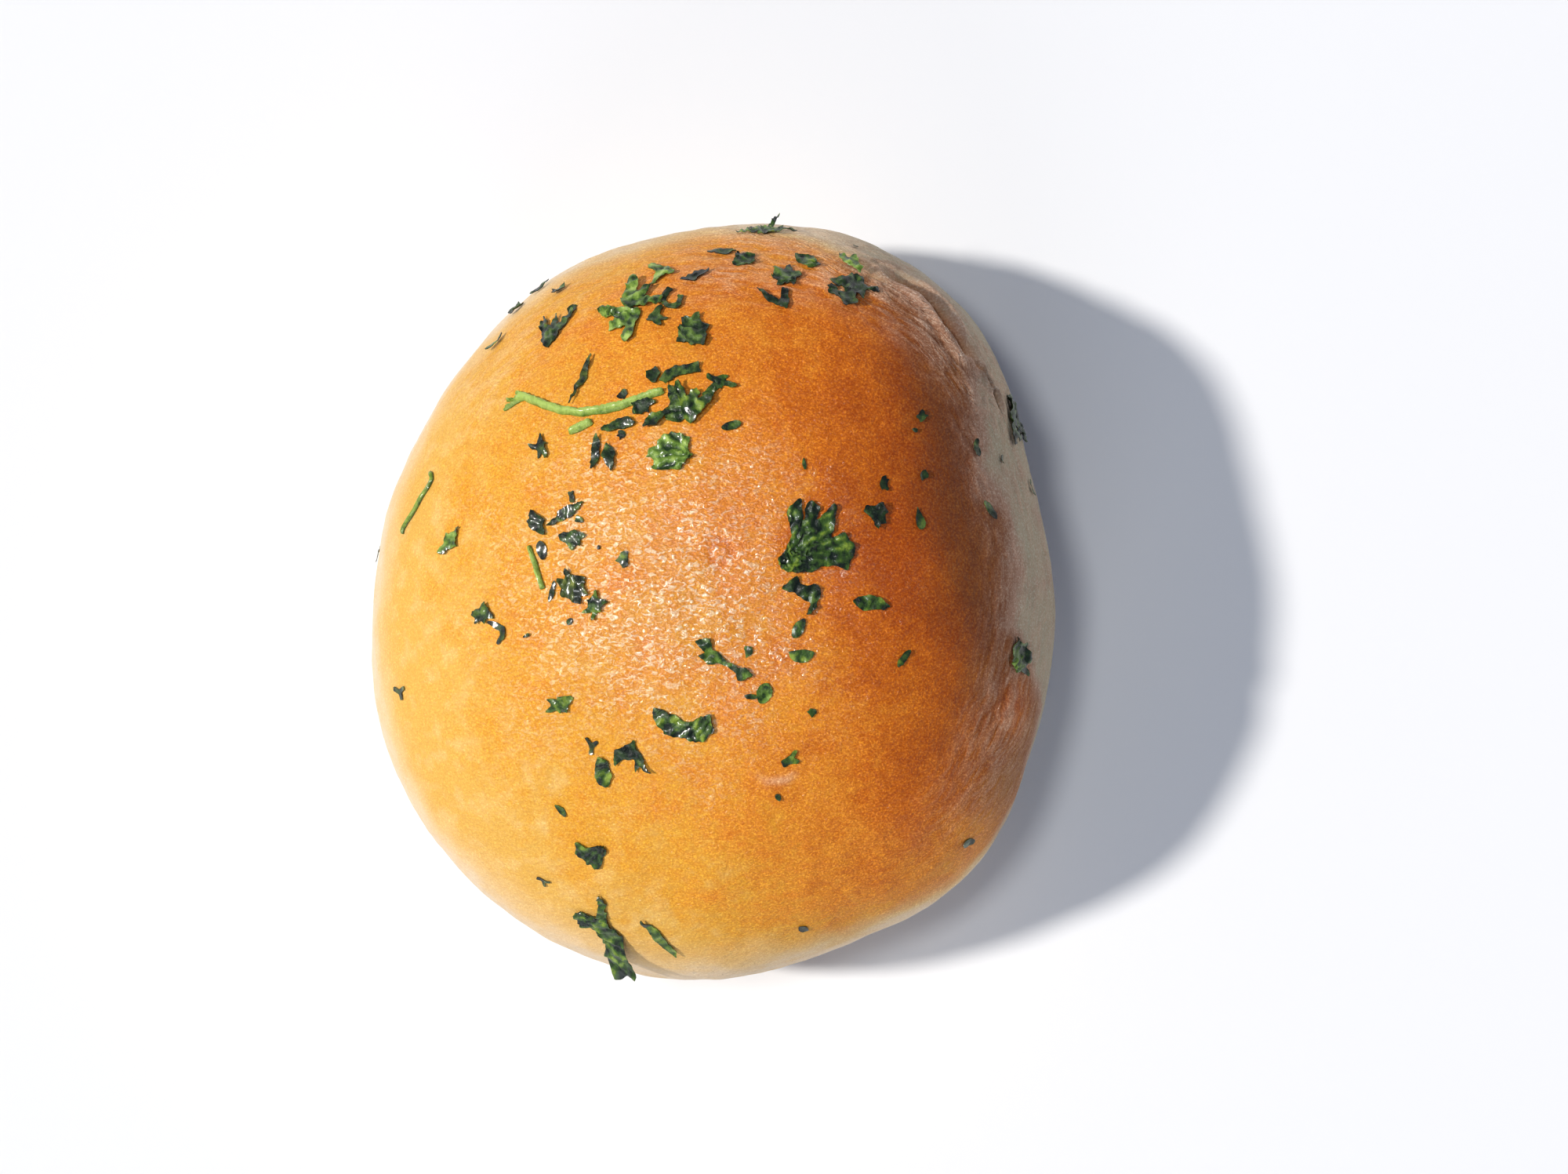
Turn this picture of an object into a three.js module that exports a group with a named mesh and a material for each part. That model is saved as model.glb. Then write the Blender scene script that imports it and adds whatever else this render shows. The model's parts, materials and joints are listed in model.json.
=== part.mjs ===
// A closed kolache: one round baked bun, with chopped parsley lying on its crust.
// Millimetres. +Z is up, +X runs across the bun and +Y along it. The bun rests on z = 0,
// and the origin is under the middle of the whole.
import * as THREE from "three";

// Driving dimensions of the bun.
const bunWidth = 80; // along X, at the belly
const bunLength = 88.5; // along Y, at the belly
const bunHeight = 50; // from the base to the crown
const bellyHeight = 18; // the level where the bun is widest
const baseInset = 9; // how far the edge of the base lies inside the belly
const crownLeanX = 3; // how far the crown leans across from the middle of the base
const crownLeanY = 3; // and how far it leans along

// Driving dimensions of the parsley.
const leafThickness = 0.4; // dried leaf, with its curl
const restGap = 0.3; // clear space under a flake and between stacked flakes

// How round the bun's side is: 2 is an ellipse, more is squarer.
const domePower = 2.2;
const footPower = 2.4;

// How finely the crust is divided.
const crustColumns = 72;
const crustRings = 26;

// How far the belly reaches from the middle, every 22.5 degrees round from +X.
// Only the proportions count: they are fitted to the width and the length.
const bellyReach = [
  40.2, 40.2, 45.0, 47.0, 45.1, 43.6, 41.3, 40.0, 40.0, 41.6, 42.7, 43.9, 44.1, 42.6, 43.4, 40.4,
];

// Soft swells (positive) and dents (negative) of the crust: heading and tilt in degrees,
// height in mm, and how many degrees wide.
const swells = [
  { heading: 49, tilt: 60, height: 0.8, spread: 14 },
  { heading: 14, tilt: 61, height: 0.6, spread: 14 },
  { heading: -26, tilt: 68, height: 0.8, spread: 12 },
  { heading: -60, tilt: 70, height: 0.5, spread: 14 },
  { heading: 175, tilt: 54, height: 0.5, spread: 22 },
  { heading: -143, tilt: 60, height: 0.6, spread: 20 },
];

const up = new THREE.Vector3(0, 0, 1);
const core = new THREE.Vector3(0, 0, bellyHeight); // every place on the crust is seen from here

// ---- The bun's surface ----

const reachCurve = new THREE.CatmullRomCurve3(
  bellyReach.map((reach) => new THREE.Vector3(reach, 0, 0)),
  true,
  "catmullrom",
);

// Reach of the unfitted belly outline towards (x, y).
function outlineReach(x, y) {
  const turn = Math.atan2(y, x) / (2 * Math.PI);
  return reachCurve.getPoint(THREE.MathUtils.euclideanModulo(turn, 1)).x;
}

// The outline's own extent, which the width and the length are fitted to.
function outlineSize() {
  const box = new THREE.Box2();
  const steps = 720;
  for (let step = 0; step < steps; step += 1) {
    const angle = (2 * Math.PI * step) / steps;
    const point = new THREE.Vector2(Math.cos(angle), Math.sin(angle));
    box.expandByPoint(point.multiplyScalar(outlineReach(point.x, point.y)));
  }
  return box.getSize(new THREE.Vector2());
}

const fitX = bunWidth / outlineSize().x;
const fitY = bunLength / outlineSize().y;

// What share of the belly's reach the bun still has at height z.
function sectionShare(z) {
  if (z >= bellyHeight) {
    const rise = (z - bellyHeight) / (bunHeight - bellyHeight);
    return (1 - rise ** domePower) ** (1 / domePower);
  }
  const drop = (bellyHeight - z) / bellyHeight;
  const tuck = 1 - (1 - drop ** footPower) ** (1 / footPower);
  return 1 - (baseInset / (bunWidth / 2)) * tuck;
}

function isInside(point) {
  if (point.z < 0 || point.z > bunHeight) return false;
  const rise = Math.max(0, (point.z - bellyHeight) / (bunHeight - bellyHeight));
  const x = (point.x - crownLeanX * rise ** 2) / fitX;
  const y = (point.y - crownLeanY * rise ** 2) / fitY;
  return Math.hypot(x, y) < outlineReach(x, y) * sectionShare(point.z);
}

// Where a place is, seen from the core. Places are given as on a globe that is stretched to
// the bun: heading is degrees round from +X, and tilt is degrees down from the crown.
function directionOf(heading, tilt) {
  const down = THREE.MathUtils.degToRad(tilt);
  const turn = THREE.MathUtils.degToRad(heading);
  return new THREE.Vector3(
    (Math.sin(down) * Math.cos(turn) * bunWidth) / 2,
    (Math.sin(down) * Math.sin(turn) * bunLength) / 2,
    Math.cos(down) * (bunHeight - bellyHeight),
  ).normalize();
}

function swellAt(direction) {
  let height = 0;
  for (const swell of swells) {
    const away = direction.angleTo(directionOf(swell.heading, swell.tilt));
    height += swell.height * Math.exp(-((THREE.MathUtils.radToDeg(away) / swell.spread) ** 2));
  }
  return height;
}

// Distance from the core to the crust along a direction, found by halving.
function crustReach(direction) {
  let near = 0;
  let far = bunWidth + bunLength;
  for (let step = 0; step < 40; step += 1) {
    const middle = (near + far) / 2;
    if (isInside(core.clone().addScaledVector(direction, middle))) near = middle;
    else far = middle;
  }
  return near + swellAt(direction);
}

function crustPoint(direction, lift = 0) {
  return core.clone().addScaledVector(direction, crustReach(direction) + lift);
}

// Where the crust meets the flat base under a heading.
function baseEdge(heading) {
  const turn = THREE.MathUtils.degToRad(heading);
  const x = Math.cos(turn);
  const y = Math.sin(turn);
  const fitted = outlineReach(x / fitX, y / fitY) / Math.hypot(x / fitX, y / fitY);
  const reach = fitted * sectionShare(0);
  return new THREE.Vector3(reach * x, reach * y, 0);
}

// ---- The bun: rings of points from the crown down to the base, closed by a flat base ----

function bunGeometry() {
  const corners = [crustPoint(up)];
  for (let ring = 1; ring <= crustRings; ring += 1) {
    for (let column = 0; column < crustColumns; column += 1) {
      const heading = (360 * column) / crustColumns;
      const edge = baseEdge(heading);
      const toEdge = edge.clone().sub(core);
      const across = new THREE.Vector3().crossVectors(up, toEdge).normalize();
      const direction = up.clone().applyAxisAngle(across, (up.angleTo(toEdge) * ring) / crustRings);
      corners.push(ring === crustRings ? edge : crustPoint(direction));
    }
  }
  corners.push(new THREE.Vector3(0, 0, 0));

  const at = (ring, column) => 1 + (ring - 1) * crustColumns + (column % crustColumns);
  const crown = 0;
  const baseMiddle = corners.length - 1;
  const faces = [];
  for (let column = 0; column < crustColumns; column += 1) {
    faces.push(crown, at(1, column), at(1, column + 1));
    for (let ring = 1; ring < crustRings; ring += 1) {
      faces.push(at(ring, column), at(ring + 1, column), at(ring + 1, column + 1));
      faces.push(at(ring, column), at(ring + 1, column + 1), at(ring, column + 1));
    }
    faces.push(baseMiddle, at(crustRings, column + 1), at(crustRings, column));
  }
  const geometry = new THREE.BufferGeometry().setFromPoints(corners);
  geometry.setIndex(faces);
  geometry.computeVertexNormals();
  return geometry;
}

// ---- Parsley outlines, flat, in a flake's own plane ----

function cornerAt(reach, degrees) {
  const angle = THREE.MathUtils.degToRad(degrees);
  return new THREE.Vector2(reach * Math.cos(angle), reach * Math.sin(angle));
}

// A piece torn to a shape of its own, its corners in order.
function torn(...corners) {
  return corners.map(([x, y]) => new THREE.Vector2(x, y));
}

// A cut sliver, pointed at both ends, its middle pushed aside by bow.
function blade(long, wide, bow = 0) {
  const stations = [-0.5, -0.25, 0.05, 0.3, 0.5];
  const middle = (t) => bow * (1 - 4 * t * t);
  const half = (t) => (wide / 2) * (1 - 4 * t * t) ** 0.7;
  const left = stations.map((t) => new THREE.Vector2(t * long, middle(t) + half(t)));
  const right = stations.slice(1, -1).map((t) => new THREE.Vector2(t * long, middle(t) - half(t)));
  return [...right, ...left.reverse()];
}

// An oval leaflet with toothed sides and a pointed tip.
function leaflet(long, wide, teeth) {
  const side = [];
  for (let tooth = 0; tooth < teeth; tooth += 1) {
    const notch = (tooth + 0.4) / (teeth + 0.6);
    const point = (tooth + 1) / (teeth + 0.6);
    side.push([notch, 0.78 * Math.sin(Math.PI * notch ** 0.8)]);
    side.push([point, Math.sin(Math.PI * point ** 0.8)]);
  }
  const corner = ([along, half], sign) => new THREE.Vector2((along - 0.5) * long, (sign * half * wide) / 2);
  const right = side.map((station) => corner(station, -1));
  const left = side.map((station) => corner(station, 1)).reverse();
  return [corner([0, 0], 1), ...right, corner([1, 0], 1), ...left];
}

// A frond end: pointed fingers spread from a narrow stalk.
function frond(long, spread, fingers) {
  const stalk = new THREE.Vector2(-long / 2, 0);
  const corners = [cornerAt(0.09 * long, -90), cornerAt(0.09 * long, 90)];
  const rim = [];
  for (let finger = 0; finger < fingers; finger += 1) {
    const angle = spread * (finger / (fingers - 1) - 0.5);
    const step = spread / (fingers - 1);
    const reach = long * (finger % 2 ? 0.86 : 1);
    const left = cornerAt(0.8 * reach, angle + 0.28 * step);
    const right = cornerAt(0.86 * reach, angle - 0.26 * step);
    rim.push(right, cornerAt(reach, angle), left);
    if (finger < fingers - 1) rim.push(cornerAt(0.52 * long, angle + 0.5 * step));
  }
  return [corners[0], ...rim, corners[1]].map((corner) => corner.add(stalk));
}

// A torn piece of leaf: lobes [angle, reach] round a waist, with a notch between neighbours.
function lobed(waist, ...lobes) {
  const corners = [];
  lobes.forEach(([angle, reach], number) => {
    const following = lobes[(number + 1) % lobes.length][0] + (number + 1 === lobes.length ? 360 : 0);
    const gap = following - angle;
    corners.push(cornerAt(reach, angle), cornerAt(0.82 * reach, angle + 0.22 * gap));
    corners.push(cornerAt(gap > 120 ? 0.8 * waist : waist, angle + 0.55 * gap));
  });
  return corners;
}

// A stem or thread along a route, with prongs [angle, reach] splayed from its far end.
function strand(wide, route, prongs = []) {
  const line = new THREE.SplineCurve(route.map(([x, y]) => new THREE.Vector2(x, y)));
  const steps = 2 * (route.length - 1);
  const left = [];
  const right = [];
  for (let step = 0; step <= steps; step += 1) {
    const middle = line.getPoint(step / steps);
    const ahead = line.getTangent(step / steps);
    const half = (wide / 2) * (step === 0 ? 0.8 : 1);
    left.push(new THREE.Vector2(middle.x - ahead.y * half, middle.y + ahead.x * half));
    right.push(new THREE.Vector2(middle.x + ahead.y * half, middle.y - ahead.x * half));
  }
  const end = line.getPoint(1);
  const splay = [];
  prongs.forEach(([angle, reach], number) => {
    if (number > 0) splay.push(cornerAt(0.8 * wide, (angle + prongs[number - 1][0]) / 2).add(end));
    splay.push(cornerAt(reach, angle - 4).add(end), cornerAt(reach, angle + 4).add(end));
  });
  return [...right, ...splay, ...left.reverse()];
}

// ---- Parsley flakes, laid on the crust ----

const greens = {
  dark: new THREE.Color(0.05, 0.16, 0.06),
  mid: new THREE.Color(0.13, 0.32, 0.1),
  olive: new THREE.Color(0.2, 0.27, 0.1),
  light: new THREE.Color(0.33, 0.56, 0.18),
};

// A flake's place is the heading and tilt of its middle, and turn is how far it is turned
// round, anticlockwise from above. Level 1 lies on a flake of level 0. A curl
// [towards, by] lifts the side that points towards that angle off the crust.
function flake(heading, tilt, turn, outline, green, { level = 0, curl = [0, 0] } = {}) {
  return { heading, tilt, turn, outline, green, level, curl };
}

function flakeGeometry({ heading, tilt, turn, outline, level, curl }) {
  const middleOfFlake = new THREE.Vector2();
  const turnBy = THREE.MathUtils.degToRad(turn);
  const turned = outline.map((corner) => corner.clone().rotateAround(middleOfFlake, turnBy));
  const size = Math.max(...turned.map((corner) => corner.length()));
  const geometry = new THREE.ExtrudeGeometry(new THREE.Shape(turned), {
    depth: leafThickness,
    bevelEnabled: false,
  });
  const direction = directionOf(heading, tilt);
  const middle = crustPoint(direction);
  const lay = new THREE.Quaternion().setFromUnitVectors(up, direction);
  const bridge = size ** 2 / (2 * bunWidth); // a flat flake is clear of the curve under its middle
  const base = restGap + bridge + level * (leafThickness + restGap);
  const towards = cornerAt(1, curl[0]);
  const places = geometry.getAttribute("position");
  for (let index = 0; index < places.count; index += 1) {
    const x = places.getX(index);
    const y = places.getY(index);
    const out = Math.max(0, (x * towards.x + y * towards.y) / size);
    const onPlane = new THREE.Vector3(x, y, 0).applyQuaternion(lay).add(middle);
    const lift = base + places.getZ(index) + curl[1] * out ** 2;
    const laid = crustPoint(onPlane.sub(core).normalize(), lift);
    places.setXYZ(index, laid.x, laid.y, laid.z);
  }
  geometry.computeVertexNormals();
  return geometry;
}

// The flakes, region by region, as they fell on this bun.
const parsley = {
  stem: [
    flake(127, 36, 0, strand(0.9, [[10.0, 2.3], [4.8, 0.7], [0.2, 0.2], [-3.9, 1.6], [-6.7, 3.3]],
      [[150, 1.6], [175, 2.6], [197, 3.0]]), "light", { level: 1 }),
    flake(122, 41, 66, torn([-3.3, -0.2], [-0.8, -0.5], [0.4, -1.0], [1.0, -0.45], [3.2, 0], [1.2, 0.15],
      [-0.6, 0.1]), "olive"),
    flake(128, 34, 0, strand(0.85, [[-1.4, -0.5], [1.3, 0.5]]), "light"),
    flake(119, 30, 8, blade(4.0, 1.2, 0.3), "dark"),
  ],
  upper_left: [
    flake(121, 78, 25, blade(2.8, 0.9), "dark"),
    flake(126, 78, 0, lobed(0.7, [15, 1.2], [95, 1.0], [190, 1.1], [280, 0.9]), "dark", { curl: [126, 0.8] }),
    flake(118, 66, 35, lobed(0.6, [10, 1.0], [130, 0.8], [200, 1.0], [300, 0.7]), "dark"),
    flake(122, 55, 82, frond(5.4, 46, 3), "dark"),
    flake(132, 67, 34, blade(2.6, 0.8), "mid"),
  ],
  top: [
    flake(81, 70, 0, lobed(1.1, [0, 3.5], [35, 2.5], [62, 3.6], [105, 1.7], [140, 2.5], [178, 3.6],
      [225, 1.8], [300, 1.7]), "mid", { curl: [75, 1.6] }),
    flake(88, 60, 13, blade(3.6, 1.1, 0.4), "dark"),
    flake(84, 57, 0, lobed(1.0, [-40, 1.7], [30, 1.4], [110, 1.9], [200, 1.4]), "mid"),
    flake(73, 58, -50, leaflet(3.4, 2.3, 2), "mid"),
    flake(76, 53, 0, lobed(1.2, [5, 1.9], [70, 2.3], [125, 2.1], [180, 1.7], [235, 1.9], [290, 2.1]), "dark"),
    flake(77, 48, 0, torn([-2.2, 1.5], [-0.6, 0.2], [0.5, -0.4], [0.7, 1.1], [1.3, 1.2], [1.6, -1.0],
      [1.2, -1.7], [-0.9, -0.5]), "dark"),
    flake(93, 53, 34, leaflet(4.0, 1.5, 2), "dark"),
    flake(99, 56, 0, lobed(0.8, [-35, 1.7], [50, 0.9], [125, 2.3], [235, 2.2]), "light"),
    flake(104, 51, 42, frond(4.8, 72, 3), "light", { level: 1 }),
    flake(109, 47, 215, frond(4.9, 78, 3), "light"),
    flake(102, 45, 0, lobed(0.8, [-65, 1.7], [-15, 1.6], [55, 1.7], [150, 0.7], [215, 0.9]), "dark"),
    flake(98, 48, 0, strand(0.7, [[-0.3, 1.5], [-0.9, 0.2], [-0.2, -0.9], [0.9, -0.7], [1.0, 0.4]]), "dark"),
    flake(94, 41, 0, lobed(1.5, [20, 2.0], [75, 2.5], [120, 2.2], [170, 1.8], [215, 2.3], [265, 2.0],
      [305, 2.4]), "dark"),
  ],
  cluster: [
    flake(105, 35, 0, lobed(0.65, [-70, 0.9], [10, 0.8], [80, 0.9], [150, 0.9], [210, 0.9]), "dark"),
    flake(110, 31, 0, lobed(0.9, [15, 1.5], [75, 1.2], [160, 1.5], [215, 1.4], [265, 1], [310, 1.3]), "dark"),
    flake(107, 28, 22, leaflet(3.3, 1.6, 2), "mid", { level: 1 }),
    flake(98, 34, 0, strand(1.1, [[-1.9, -1.0], [-0.8, 0.3], [0.6, 0.4], [2.2, 0.8]]), "dark"),
    flake(100, 29, 0, torn([-0.9, 2.2], [-0.2, 2.3], [0.4, 0.9], [1.4, -0.2], [1.2, -1.2], [0.2, -1.8],
      [-1.1, -1.6], [-1.5, -0.6], [-0.8, 0.4]), "dark"),
    flake(95, 29, 78, frond(4.6, 55, 3), "mid", { level: 1 }),
    flake(87, 32, 0, lobed(0.7, [-20, 1.9], [40, 1.1], [150, 1.7], [212, 2.4], [290, 0.8]), "mid"),
    flake(105, 23, 0, lobed(2.0, [-62, 2.4], [-15, 2.6], [35, 2.6], [85, 2.1], [140, 1.9], [190, 2.9],
      [225, 2.9]), "light"),
  ],
  upper_right: [
    flake(66, 60, 0, lobed(0.9, [60, 1.6], [125, 1.9], [215, 1.0], [295, 2.1]), "light", { level: 1 }),
    flake(64, 55, 0, lobed(1.4, [-12, 3.1], [50, 2.0], [170, 2.8], [240, 2.1], [300, 2.2]), "dark"),
    flake(64, 51, 0, lobed(0.8, [-50, 1.5], [45, 1.2], [165, 2.4], [235, 1.4]), "dark", { level: 1 }),
    flake(29, 70, -62, frond(6.4, 56, 3), "dark"),
  ],
  left: [
    flake(162, 60, 0, strand(0.6, [[1.4, 3.5], [2.0, 2.4], [0.9, 1.0], [0.1, 0], [-1.1, -1.4], [-2.3, -2.6],
      [-2.5, -3.3]]), "mid"),
    flake(167, 47, 0, lobed(0.7, [62, 2.1], [120, 1.2], [215, 1.9], [320, 1.0]), "light"),
    flake(139, 37, 0, lobed(0.6, [-75, 1.5], [20, 0.8], [95, 1.4], [165, 1.5], [245, 1.3]), "dark"),
    flake(129, 29, 80, blade(4.0, 1.2), "dark"),
    flake(126, 27, -85, leaflet(3.3, 1.7, 2), "dark"),
    flake(156, 31, 0, lobed(0.9, [-50, 1.5], [15, 1.1], [110, 1.7], [170, 1.1], [240, 0.9]), "dark"),
    flake(149, 27, 29, blade(5.4, 1.0), "mid"),
    flake(155, 24, 0, lobed(0.9, [-40, 1.3], [15, 1.6], [90, 1.2], [165, 1.7], [255, 1.4]), "mid"),
    flake(168, 29, 0, strand(0.6, [[-0.9, 2.5], [0, 0], [0.8, -2.3]]), "light"),
    flake(172, 22, 0, lobed(1.3, [-60, 2.2], [-20, 2.1], [35, 1.8], [105, 2.3], [155, 2.0], [205, 1.8]),
      "olive"),
    flake(178, 18, 0, lobed(0.8, [15, 1.5], [80, 1.7], [150, 1], [212, 1.7], [258, 1.7], [320, 1.1]), "mid"),
    flake(-179, 38, 0, lobed(0.8, [-70, 1.2], [-15, 1.4], [75, 1.3], [175, 1.4], [235, 1.4]), "dark"),
  ],
  centre: [
    flake(31, 19, 0, torn([-4.3, -2.8], [-3.1, -1.1], [-2.6, 0.8], [-3.2, 3.1], [-1.5, 4.3], [-1.4, 1.8],
      [-0.7, 4.0], [0.3, 3.3], [0.0, 1.6], [2.0, 3.7], [2.0, 1.5], [1.8, 0.0], [2.9, 0.9], [3.5, 0.0],
      [4.4, -1.2], [3.8, -2.3], [3.5, -3.3], [1.9, -2.9], [-0.7, -3.6], [-3.1, -3.7]), "mid"),
    flake(9, 14, 0, torn([-2.1, 0.6], [-0.4, 1.9], [0.6, 0.8], [2.0, 1.1], [2.4, -0.2], [1.9, -1.5],
      [0.6, -2.3], [1.2, -1.0], [0.7, -0.9], [-0.6, 0.2]), "dark"),
    flake(-79, 7, 0, torn([-2.5, 1.8], [-0.8, 2.2], [-0.4, 1.1], [0.7, 0.0], [2.0, -1.0], [3.1, -1.0],
      [3.9, -2.0], [2.4, -2.4], [1.8, -1.5], [0.1, -0.6], [-1.0, -0.7], [-2.4, 0.2], [-1.1, 0.5],
      [-1.9, 1.0]), "light"),
  ],
  right: [
    flake(27, 29, 0, lobed(1.0, [-85, 1.5], [-45, 1.5], [10, 1.3], [60, 1.5], [145, 1.8]), "dark"),
    flake(2, 25, -8, leaflet(4.3, 1.8, 2), "mid"),
    flake(-8, 57, 0, lobed(1.5, [-55, 3.1], [-15, 2.7], [50, 2], [105, 2.4], [190, 1.8], [240, 2]), "dark"),
  ],
  lower: [
    flake(-150, 28, 0, lobed(1.0, [-45, 1.2], [25, 1.8], [100, 1.0], [165, 1.6], [205, 1.8], [265, 1.1]),
      "mid"),
    flake(-118, 44, 0, lobed(1.2, [-85, 1.9], [20, 2.0], [145, 2.3]), "mid"),
    flake(-104, 17, 0, torn([-3.5, 1.9], [-2.3, 1.6], [-0.9, 1.1], [0.2, 0.3], [1.4, 0.5], [2.8, 1.3],
      [3.1, 0.4], [3.5, -0.6], [2.1, -1.7], [0.8, -1.5], [-0.6, -1.5], [-2.2, -0.8], [-3.1, 0.4]), "mid"),
    flake(-121, 25, 0, torn([-1.7, 0.7], [-0.5, 0.9], [0.4, 1.9], [1.1, 0.4], [1.7, -0.8], [2.6, -1.9],
      [1.2, -1.2], [0.5, -1.9], [0.4, -0.3], [-1.0, -0.7], [-1.8, -1.5]), "dark"),
    flake(-126, 30, -80, leaflet(3.8, 2.1, 1), "mid"),
    flake(-109, 61, 0, torn([-0.3, 6.2], [0.7, 5.2], [0.5, 0.9], [1.9, -0.9], [2.8, -4.4], [3.7, -6.2],
      [0.9, -7.2], [-0.2, -5.0], [-0.4, -2.8], [-1.6, -0.8], [-3.4, -0.4], [-3.9, 2.0], [-2.2, 2.2],
      [-0.9, 2.0], [-0.4, 3.9]), "mid", { curl: [-75, 2.6] }),
    flake(-100, 58, -58, blade(7.2, 1.1), "mid"),
  ],
};

// ---- Assembly ----

const crustColour = 0xd98a3a;
const leafRoughness = 0.5;
const crustMaterial = new THREE.MeshStandardMaterial({ color: crustColour, roughness: 0.4, metalness: 0 });

const group = new THREE.Group();
const bun = new THREE.Mesh(bunGeometry(), crustMaterial);
bun.name = "bun";
group.add(bun);

for (const [region, flakes] of Object.entries(parsley)) {
  flakes.forEach((piece, number) => {
    const color = greens[piece.green];
    const material = new THREE.MeshStandardMaterial({ color, roughness: leafRoughness, metalness: 0 });
    const mesh = new THREE.Mesh(flakeGeometry(piece), material);
    mesh.name = `parsley_${region}_${number + 1}`;
    group.add(mesh);
  });
}

const whole = new THREE.Box3().setFromObject(group).getCenter(new THREE.Vector3());
group.position.set(-whole.x, -whole.y, 0);

export default group;
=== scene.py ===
import json
import math

import bpy
import numpy as np
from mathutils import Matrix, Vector, noise
from mathutils.bvhtree import BVHTree
from mathutils.geometry import delaunay_2d_cdt


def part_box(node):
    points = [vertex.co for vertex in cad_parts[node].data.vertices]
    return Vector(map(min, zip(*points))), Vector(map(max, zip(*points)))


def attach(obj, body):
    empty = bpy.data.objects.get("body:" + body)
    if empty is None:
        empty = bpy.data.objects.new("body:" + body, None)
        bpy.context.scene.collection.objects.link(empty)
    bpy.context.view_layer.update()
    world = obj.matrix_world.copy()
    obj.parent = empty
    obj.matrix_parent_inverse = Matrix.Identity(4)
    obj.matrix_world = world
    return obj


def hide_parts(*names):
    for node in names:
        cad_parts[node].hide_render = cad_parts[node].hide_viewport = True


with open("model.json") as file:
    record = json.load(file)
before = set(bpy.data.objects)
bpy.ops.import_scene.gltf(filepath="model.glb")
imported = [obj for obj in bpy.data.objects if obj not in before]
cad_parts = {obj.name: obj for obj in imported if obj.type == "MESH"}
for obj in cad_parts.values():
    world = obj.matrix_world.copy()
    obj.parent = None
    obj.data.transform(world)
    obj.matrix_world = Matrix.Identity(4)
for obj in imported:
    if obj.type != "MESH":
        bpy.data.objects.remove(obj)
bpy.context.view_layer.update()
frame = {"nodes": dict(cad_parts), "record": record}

MM = 0.001
bun_low, bun_high = (np.array(corner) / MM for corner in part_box("bun"))
half_width, half_length = (bun_high - bun_low)[:2] / 2
bun_height = bun_high[2]
middle = np.array([*(bun_low + bun_high)[:2] / 2, 0.0])  # on the floor, under the middle of the bun
core_share = 0.36  # of the bun's height: every place on the crust can be seen from there
core = middle + [0, 0, core_share * bun_height]


# ---- Small helpers ----


def smoothstep(low, high, value):
    share = np.clip((value - low) / (high - low), 0, 1)
    return share * share * (3 - 2 * share)


def band(value, start, full, fading, end):
    """1 between full and fading, and 0 outside start and end."""
    return smoothstep(start, full, value) * (1 - smoothstep(fading, end, value))


def unit(vectors):
    return vectors / np.linalg.norm(vectors, axis=-1, keepdims=True)


def clouds(points, size, octaves=2, shift=0.0):
    """Soft noise from about -1 to 1, one value a point, with lumps of about the given size."""
    moved = np.asarray(points) / size + shift
    return np.array([noise.fractal(Vector(p), 0.6, 2.0, octaves) for p in moved])


def periodic_blur(grid, spread):
    """Blurs a grid round its first axis, which closes on itself."""
    reach = int(3 * spread)
    weights = np.exp(-0.5 * (np.arange(-reach, reach + 1) / spread) ** 2)
    weights /= weights.sum()
    return sum(w * np.roll(grid, k - reach, axis=0) for k, w in enumerate(weights))


def end_blur(grid, spread):
    """Blurs a grid along its second axis, and keeps what it holds at the two ends."""
    reach = int(3 * spread)
    weights = np.exp(-0.5 * (np.arange(-reach, reach + 1) / spread) ** 2)
    weights /= weights.sum()
    before = 2 * grid[:, :1] - grid[:, reach:0:-1]
    after = 2 * grid[:, -1:] - grid[:, -2 : -2 - reach : -1]
    padded = np.concatenate([before, grid, after], axis=1)
    count = grid.shape[1]
    return sum(w * padded[:, k : k + count] for k, w in enumerate(weights))


def tree_of(points, faces):
    return BVHTree.FromPolygons([Vector(p) for p in points], faces)


def crust_hit(tree, direction):
    """Where the ray from the core meets a surface, as a distance from the core."""
    far = 200.0
    start = Vector(core + direction * far)
    hit = tree.ray_cast(start, Vector(-direction))
    return far - hit[3]


def drop_onto(tree, across, along):
    """The place on a surface that is straight under a spot, given from the bun's middle."""
    above = Vector(middle + [across, along, 2 * bun_height])
    return np.array(tree.ray_cast(above, Vector((0, 0, -1)))[0])


def make_piece(name, points, faces, material, replaced, smooth_angle=180):
    mesh = bpy.data.meshes.new(name)
    mesh.from_pydata((np.asarray(points) * MM).tolist(), [], faces)
    mesh.update()
    mesh.shade_smooth()
    if smooth_angle < 180:
        mesh.set_sharp_from_angle(angle=math.radians(smooth_angle))
    mesh.materials.append(material)
    piece = bpy.data.objects.new(name, mesh)
    bpy.context.scene.collection.objects.link(piece)
    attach(piece, "root")
    if replaced:
        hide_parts(replaced)
    return piece


def store(piece, name, values):
    attribute = piece.data.attributes.new(name, "FLOAT", "POINT")
    attribute.data.foreach_set("value", np.asarray(values, np.float32))


# ---- Node trees ----


def new_material(name):
    material = bpy.data.materials.new(name)
    material.use_nodes = True
    tree = material.node_tree
    tree.nodes.clear()
    return material, tree


def add(tree, kind, options=None, **inputs):
    """Adds a node. Inputs are given by name, as a value or as another node's output."""
    node = tree.nodes.new(kind)
    for key, value in (options or {}).items():
        setattr(node, key, value)
    for key, value in inputs.items():
        socket = node.inputs[key.replace("_", " ")]
        if isinstance(value, bpy.types.NodeSocket):
            tree.links.new(value, socket)
        else:
            socket.default_value = value
    return node


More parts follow.
